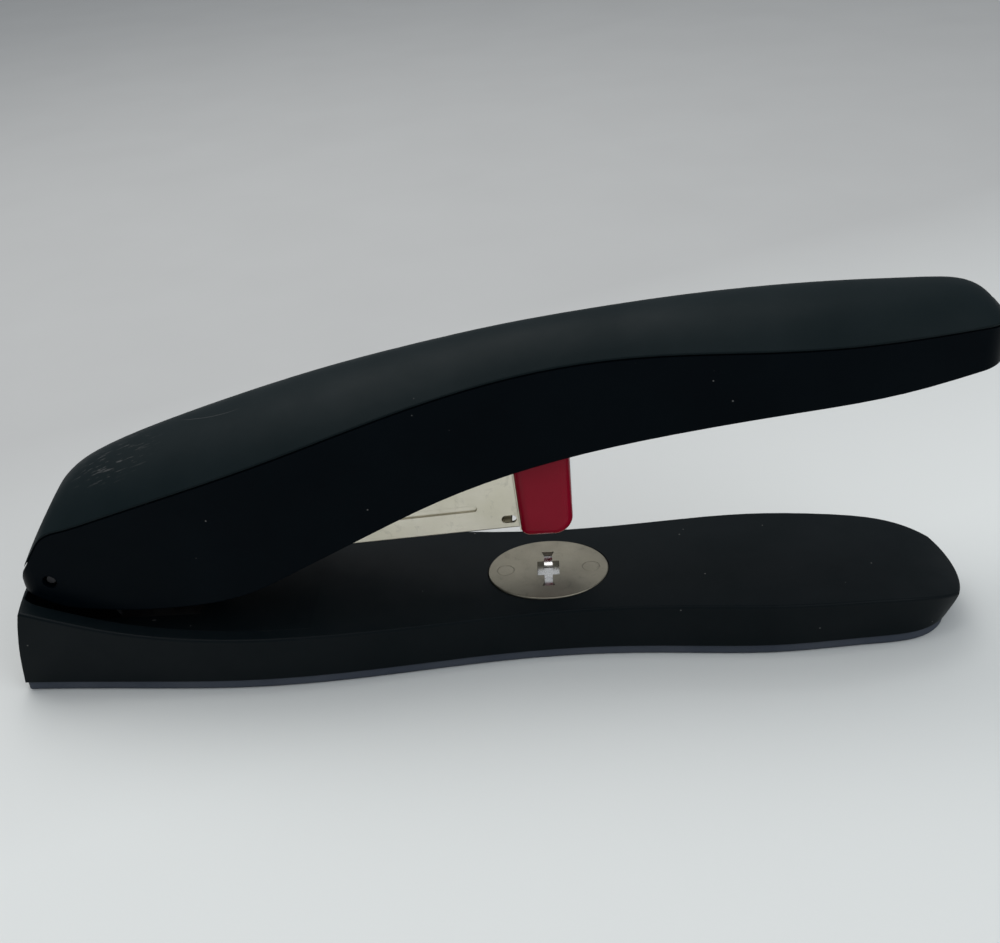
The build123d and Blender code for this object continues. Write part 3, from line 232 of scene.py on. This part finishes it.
def bumped(tree, height, depth, normal=None):
    """A normal bumped by a height from 0 to 1, that many metres deep."""
    node = tree.nodes.new("ShaderNodeBump")
    tree.links.new(height, node.inputs["Height"])
    node.inputs["Distance"].default_value = depth
    node.inputs["Strength"].default_value = 1.0
    if normal is not None:
        tree.links.new(normal, node.inputs["Normal"])
    return node.outputs["Normal"]


def new_material(name):
    """A material with nodes: (material, its tree, its principled shader)."""
    material = bpy.data.materials.new(name)
    material.use_nodes = True
    return material, material.node_tree, material.node_tree.nodes["Principled BSDF"]


# ================================================================ materials

def moulded_plastic(name, dark, light, roughness, gloss, grain_depth, dust, edge=0.35 * MM):
    """Moulded plastic: a fine grain, slow mottling in tone and gloss, and some dust."""
    material, tree, shader = new_material(name)
    point = surface_point(tree)
    mottle = map_range(tree, noise(tree, point, 22 * MM, 4.0, 0.55), 0.35, 0.65, 0.0, 1.0)
    tone = mix_colours(tree, mottle, dark, light)
    if dust:
        motes = maths(
            tree, "MAXIMUM",
            specks(tree, point, 4.2 * MM, 0.24 * MM, dust),
            specks(tree, surface_point(tree, (0.45, 1.0, 1.3)), 9.0 * MM, 0.32 * MM, dust),
        )
        tone = mix_colours(tree, maths(tree, "MULTIPLY", motes, 0.7), tone, (0.16, 0.16, 0.155))
    tree.links.new(tone, shader.inputs["Base Color"])
    patches = noise(tree, point, 9 * MM, 5.0, 0.6)
    tree.links.new(
        map_range(tree, patches, 0.3, 0.7, roughness - 0.05, roughness + 0.06),
        shader.inputs["Roughness"],
    )
    shader.inputs["Specular IOR Level"].default_value = gloss
    grain = noise(tree, point, 0.32 * MM, 2.0, 0.6)
    normal = bumped(tree, grain, grain_depth, rounded_edges(tree, edge))
    tree.links.new(normal, shader.inputs["Normal"])
    return material


def scuffed_cover(name):
    """The handle's cover: satin charcoal plastic, with rub marks and a hair scratch at its rear."""
    material, tree, shader = new_material(name)
    point = surface_point(tree)
    mottle = map_range(tree, noise(tree, point, 26 * MM, 4.0, 0.55), 0.35, 0.65, 0.0, 1.0)
    tone = mix_colours(tree, mottle, (0.0012, 0.0058, 0.0074), (0.0036, 0.0086, 0.0104))
    motes = specks(tree, point, 5.5 * MM, 0.2 * MM, 0.2)
    tone = mix_colours(tree, maths(tree, "MULTIPLY", motes, 0.45), tone, (0.12, 0.12, 0.12))
    # Rub marks: streaks along the handle, kept to a patch on the shoulder over the hinge.
    patch = map_range(
        tree, distance_to(tree, point, (0.019, -0.004, 0.058), (0.55, 0.8, 0.6)), 3 * MM, 8 * MM, 1.0, 0.0
    )
    strokes = noise(tree, surface_point(tree, (0.25, 2.2, 0.5)), 1.1 * MM, 3.0)
    streaks = map_range(tree, strokes, 0.6, 0.68, 0.0, 1.0)
    rubbed = maths(tree, "MULTIPLY", patch, streaks)
    # One long shallow scratch: a thin ring's arc, cut off by a second distance.
    ring = maths(tree, "ABSOLUTE", maths(
        tree, "SUBTRACT", distance_to(tree, point, (0.05, 0.022, 0.055), (1.0, 1.0, 0.2)), 26 * MM
    ), 0.0)
    line = map_range(tree, ring, 0.05 * MM, 0.16 * MM, 1.0, 0.0)
    reach = map_range(
        tree, distance_to(tree, point, (0.043, -0.003, 0.066), (1.0, 1.0, 0.3)), 5 * MM, 9 * MM, 1.0, 0.0
    )
    scratch = maths(tree, "MULTIPLY", line, reach)
    marks = maths(tree, "MAXIMUM", rubbed, maths(tree, "MULTIPLY", scratch, 0.6))
    tone = mix_colours(tree, maths(tree, "MULTIPLY", marks, 0.5), tone, (0.10, 0.10, 0.10))
    tree.links.new(tone, shader.inputs["Base Color"])
    patches = noise(tree, point, 12 * MM, 5.0, 0.6)
    base_roughness = map_range(tree, patches, 0.3, 0.7, 0.47, 0.56)
    tree.links.new(base_roughness, shader.inputs["Roughness"])
    shader.inputs["Specular IOR Level"].default_value = 0.09
    grain = noise(tree, point, 0.28 * MM, 2.0, 0.6)
    normal = bumped(tree, grain, 0.006 * MM, rounded_edges(tree, 0.5 * MM))
    tree.links.new(bumped(tree, marks, 0.02 * MM, normal), shader.inputs["Normal"])
    return material


def plated_metal(name, dark, light, roughness, stretch=(1.0, 1.0, 1.0), brush=0.004 * MM, stains=0.0,
                 edge=0.15 * MM):
    """Metal: drawn or tumbled grain, slow changes of tone and roughness, and faint stains."""
    material, tree, shader = new_material(name)
    shader.inputs["Metallic"].default_value = 1.0
    point = surface_point(tree)
    cloud = map_range(tree, noise(tree, point, 11 * MM, 5.0, 0.6), 0.3, 0.7, 0.0, 1.0)
    tone = mix_colours(tree, cloud, dark, light)
    if stains:
        marks = map_range(tree, noise(tree, point, 2.6 * MM, 5.0, 0.65, 0.6), 0.56, 0.74, 0.0, stains)
        tone = mix_colours(tree, marks, tone, tuple(0.42 * c for c in dark))
    tree.links.new(tone, shader.inputs["Base Color"])
    drawn = noise(tree, surface_point(tree, stretch), 0.35 * MM, 3.0, 0.6)
    patches = noise(tree, point, 5 * MM, 4.0, 0.6)
    spread = maths(tree, "ADD", maths(tree, "MULTIPLY", drawn, 0.4), maths(tree, "MULTIPLY", patches, 0.6))
    tree.links.new(
        map_range(tree, spread, 0.3, 0.7, roughness - 0.07, roughness + 0.09), shader.inputs["Roughness"]
    )
    normal = bumped(tree, drawn, brush, rounded_edges(tree, edge))
    tree.links.new(normal, shader.inputs["Normal"])
    return material


MATERIALS = {
    "cover_black": scuffed_cover("cover_black"),
    # side_black: the handle's sides, in the cover's charcoal plastic painted several times darker. This is
    # painted shade for sides that face down, away from the light.
    "side_black": moulded_plastic(
        "side_black", (0.0003, 0.0018, 0.0034), (0.0007, 0.0026, 0.0044), 0.36, 0.035, 0.003 * MM, 0.22
    ),
    "base_black": moulded_plastic(
        "base_black", (0.0016, 0.0042, 0.0056), (0.0034, 0.0060, 0.0076), 0.44, 0.08, 0.008 * MM, 0.4
    ),
    "rubber": moulded_plastic(
        "rubber", (0.045, 0.055, 0.075), (0.065, 0.075, 0.095), 0.75, 0.2, 0.012 * MM, 0.3
    ),
    "red_plastic": moulded_plastic(
        "red_plastic", (0.245, 0.003, 0.016), (0.280, 0.0045, 0.021), 0.2, 0.14, 0.001 * MM, 0.0, 0.5 * MM
    ),
    "pusher_black": moulded_plastic(
        "pusher_black", (0.012, 0.012, 0.014), (0.018, 0.018, 0.020), 0.45, 0.3, 0.004 * MM, 0.0
    ),
    "nickel": plated_metal(
        "nickel", (0.68, 0.64, 0.52), (0.76, 0.715, 0.61), 0.33, (0.1, 1.0, 1.0), 0.002 * MM, 0.35
    ),
    "anvil_steel": plated_metal(
        "anvil_steel", (0.23, 0.214, 0.17), (0.30, 0.28, 0.225), 0.42, (1.0, 0.2, 1.0), 0.004 * MM, 0.4
    ),
    "bright_steel": plated_metal("bright_steel", (0.60, 0.60, 0.60), (0.72, 0.72, 0.71), 0.27),
    "spring_steel": plated_metal(
        "spring_steel", (0.36, 0.36, 0.38), (0.46, 0.46, 0.47), 0.32, (0.15, 1.0, 1.0), 0.003 * MM, 0.3
    ),
    "staple_wire": plated_metal("staple_wire", (0.68, 0.68, 0.70), (0.80, 0.80, 0.80), 0.26, edge=0.08 * MM),
    "zinc_sheet": plated_metal(
        "zinc_sheet", (0.50, 0.52, 0.54), (0.64, 0.65, 0.66), 0.4, (0.2, 1.0, 1.0), 0.004 * MM, 0.3
    ),
    # black_steel: black oxide steel for the screws and the hinge pin. On the hinge bracket it is painted
    # shade: a dark part put in the deep shadow under the handle's rear.
    "black_steel": plated_metal(
        "black_steel", (0.035, 0.035, 0.038), (0.06, 0.06, 0.062), 0.42, stains=0.3
    ),
}

for subpart in frame["record"]["subparts"]:
    mesh = frame["nodes"][subpart["node"]].data
    mesh.materials.clear()
    mesh.materials.append(MATERIALS[subpart["material_slot"]])


# ================================================================ pieces made here

def tipped_up(point):
    """A point that is drawn with the magazine level, at the magazine's resting slope."""
    return PIN + Matrix.Rotation(-MAGAZINE_TILT, 3, "Y") @ (Vector(point) - PIN)


def staple_outline():
    """The middle line of one staple's wire: leg, bend, crown, bend, leg."""
    half = STAPLE_HALF_WIDTH - STAPLE_WIRE / 2
    top = STAPLE_CROWN_TOP - STAPLE_WIRE / 2
    foot = STAPLE_CROWN_TOP - STAPLE_LEG
    points = [Vector((half, foot))]
    for step in range(BEND_STEPS + 1):
        angle = math.pi / 2 * step / BEND_STEPS
        points.append(Vector((
            half - STAPLE_BEND + STAPLE_BEND * math.cos(angle),
            top - STAPLE_BEND + STAPLE_BEND * math.sin(angle),
        )))
    return points + [Vector((-p.x, p.y)) for p in reversed(points)]


def add_staples():
    """The strip: single wires side by side, each with a slightly flattened round section."""
    line = staple_outline()
    step = math.tau / WIRE_SIDES
    section = [
        (math.cos(step * (k + 0.5)), math.sin(step * (k + 0.5))) for k in range(WIRE_SIDES)
    ]
    reach = STAPLE_WIRE / 2 / math.cos(step / 2)
    count = int(STRIP_LENGTH / STAPLE_PITCH)
    mesh_maker = bmesh.new()
    for index in range(count):
        middle_x = STRIP_FRONT - STAPLE_WIRE / 2 - index * STAPLE_PITCH
        rings = []
        for place, point in enumerate(line):
            before = line[max(place - 1, 0)]
            after = line[min(place + 1, len(line) - 1)]
            along = (after - before).normalized()
            across = Vector((along.y, -along.x))
            rings.append([
                mesh_maker.verts.new(tipped_up((
                    middle_x + reach * s,
                    point.x + across.x * reach * c * WIRE_FLATTENING,
                    point.y + across.y * reach * c * WIRE_FLATTENING,
                )))
                for c, s in section
            ])
        for first, second in zip(rings, rings[1:]):
            for k in range(WIRE_SIDES):
                after = (k + 1) % WIRE_SIDES
                mesh_maker.faces.new((first[k], first[after], second[after], second[k]))
        mesh_maker.faces.new(rings[0])
        mesh_maker.faces.new(rings[-1])
    bmesh.ops.recalc_face_normals(mesh_maker, faces=mesh_maker.faces)
    mesh = bpy.data.meshes.new("staples")
    mesh_maker.to_mesh(mesh)
    mesh_maker.free()
    for face in mesh.polygons:
        face.use_smooth = len(face.vertices) == 4
    mesh.materials.append(MATERIALS["staple_wire"])
    staples = add_object("staples", mesh)
    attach(staples, "magazine")
    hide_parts("staple_strip")


def soft_copy(name, node, body):
    """A CAD spring's own form as a piece that may change shape."""
    piece = add_object(name, frame["nodes"][node].data.copy())
    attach(piece, body)
    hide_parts(node)
    return piece


def add_springs():
    """The leaf under the magazine and the pusher's coil, as copies with meshes of their own, riding the base
    and the magazine.
    """
    leaf = soft_copy("lift_leaf", "lift_spring", "base")
    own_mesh(leaf)
    coil = soft_copy("pusher_coil", "pusher_spring", "magazine")
    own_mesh(coil)


def add_floor():
    """A wide pale table top, faintly mottled, with painted shade that darkens it to the left and the back.
    """
    maker = bmesh.new()
    bmesh.ops.create_grid(maker, x_segments=1, y_segments=1, size=FLOOR_HALF_SIZE)
    mesh = bpy.data.meshes.new("floor")
    maker.to_mesh(mesh)
    maker.free()
    material, tree, shader = new_material("pale_floor")
    point = surface_point(tree)
    across = tree.nodes.new("ShaderNodeSeparateXYZ")
    tree.links.new(point, across.inputs[0])
    # Painted shade: the table's colour darkens from front-right to back-left, standing in for the light
    # falling off over the table.
    slope = maths(tree, "SUBTRACT", maths(tree, "MULTIPLY", across.outputs["X"], 0.5), across.outputs["Y"])
    painted_shade_share = map_range(tree, slope, -0.15, 0.08, 0.0, 1.0)
    floor_with_painted_shade = mix_colours(tree, painted_shade_share, (0.46, 0.465, 0.465), (0.70, 0.72, 0.715))
    cloud = map_range(tree, noise(tree, point, 60 * MM, 4.0), 0.3, 0.7, 0.0, 0.08)
    tree.links.new(mix_colours(tree, cloud, floor_with_painted_shade, (0.62, 0.635, 0.635)), shader.inputs["Base Color"])
    shader.inputs["Roughness"].default_value = 0.7
    shader.inputs["Specular IOR Level"].default_value = 0.15
    grain = noise(tree, point, 0.8 * MM, 3.0)
    tree.links.new(bumped(tree, grain, 0.01 * MM), shader.inputs["Normal"])
    mesh.materials.append(material)
    add_object("floor", mesh)


scene.view_settings.view_transform = "Standard"
add_camera()
add_world()
add_area_light("overhead", (-0.10, 0.22, 0.85), (0.11, 0.0, 0.03), 0.75, 4.8, (1.0, 0.985, 0.96))
add_area_light("fill", (0.75, -0.55, 0.75), (0.12, 0.0, 0.03), 0.6, 2.6, (0.93, 0.97, 1.0))
add_floor()
add_staples()
add_springs()
